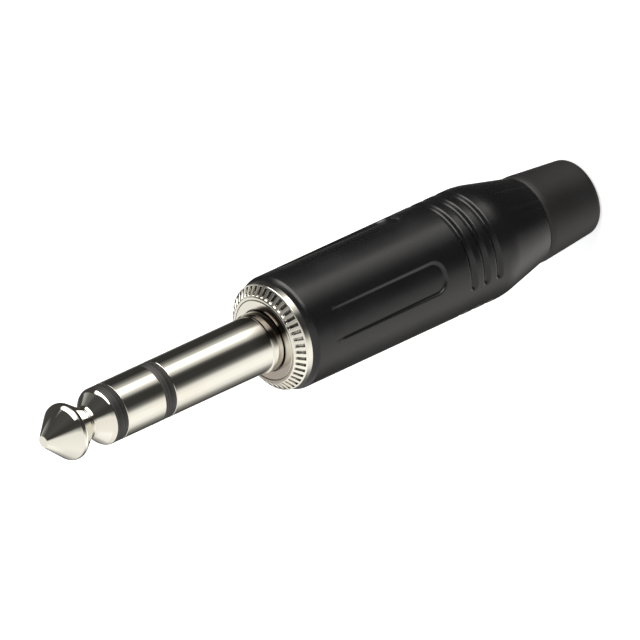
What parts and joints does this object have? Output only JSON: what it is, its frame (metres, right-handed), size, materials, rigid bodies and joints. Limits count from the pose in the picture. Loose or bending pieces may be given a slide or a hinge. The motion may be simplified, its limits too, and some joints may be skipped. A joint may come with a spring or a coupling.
{
  "type": "stereo jack plug",
  "caption": "Straight cable-mounted stereo jack plug with a tip, ring and sleeve stem, a toothed flange, a screw-on shell with finger grips and a rubber boot.",
  "frame": {"origin": "centre of the boot's end face, which the plug stands on", "axes": "+Z along the plug's axis towards the tip; -Y through the middle of one set of finger grips"},
  "size_m": [0.0126, 0.0126, 0.0751],
  "materials": {
    "nickel": "nickel-plated brass, turned and polished",
    "black_insulator": "black-brown moulding, turned flush",
    "tinned_terminal": "tinned brass strip",
    "base_moulding": "moulded thermoplastic",
    "liner_plastic": "thin extruded tube",
    "clamp_plastic": "moulded acetal",
    "black_die_casting": "satin black coating on a zinc die casting",
    "boot_rubber": "matte moulded rubber"
  },
  "bodies": {
    "shell_body": {"shell": "black_die_casting", "boot": "boot_rubber"},
    "clamp_body": {"cable_clamp": "clamp_plastic"},
    "insert_body": {"tip_contact": "nickel", "tip_band": "black_insulator", "tip_tube": "black_insulator", "ring_contact": "nickel", "ring_band": "black_insulator", "ring_tube": "black_insulator", "sleeve_contact": "nickel", "knurled_body": "nickel", "earth_terminal": "tinned_terminal", "rear_insulator": "base_moulding", "ring_terminal": "tinned_terminal", "terminal_spacer": "base_moulding", "tip_terminal": "tinned_terminal", "insulating_liner": "liner_plastic"}
  },
  "joints": [
    {"name": "unscrew", "type": "hinge", "parent": "shell_body", "child": "clamp_body", "pos_m": [0, 0, 0.0176], "axis": [0, 0, 1], "range_deg": [0, 2160]},
    {"name": "thread_travel", "type": "slide", "parent": "clamp_body", "child": "insert_body", "axis": [0, 0, 1], "range_m": [0, 0.00451]}
  ],
  "couplings": [
    {"joint": "thread_travel", "follows": "unscrew", "m_per_rad": 0.00011937}
  ]
}
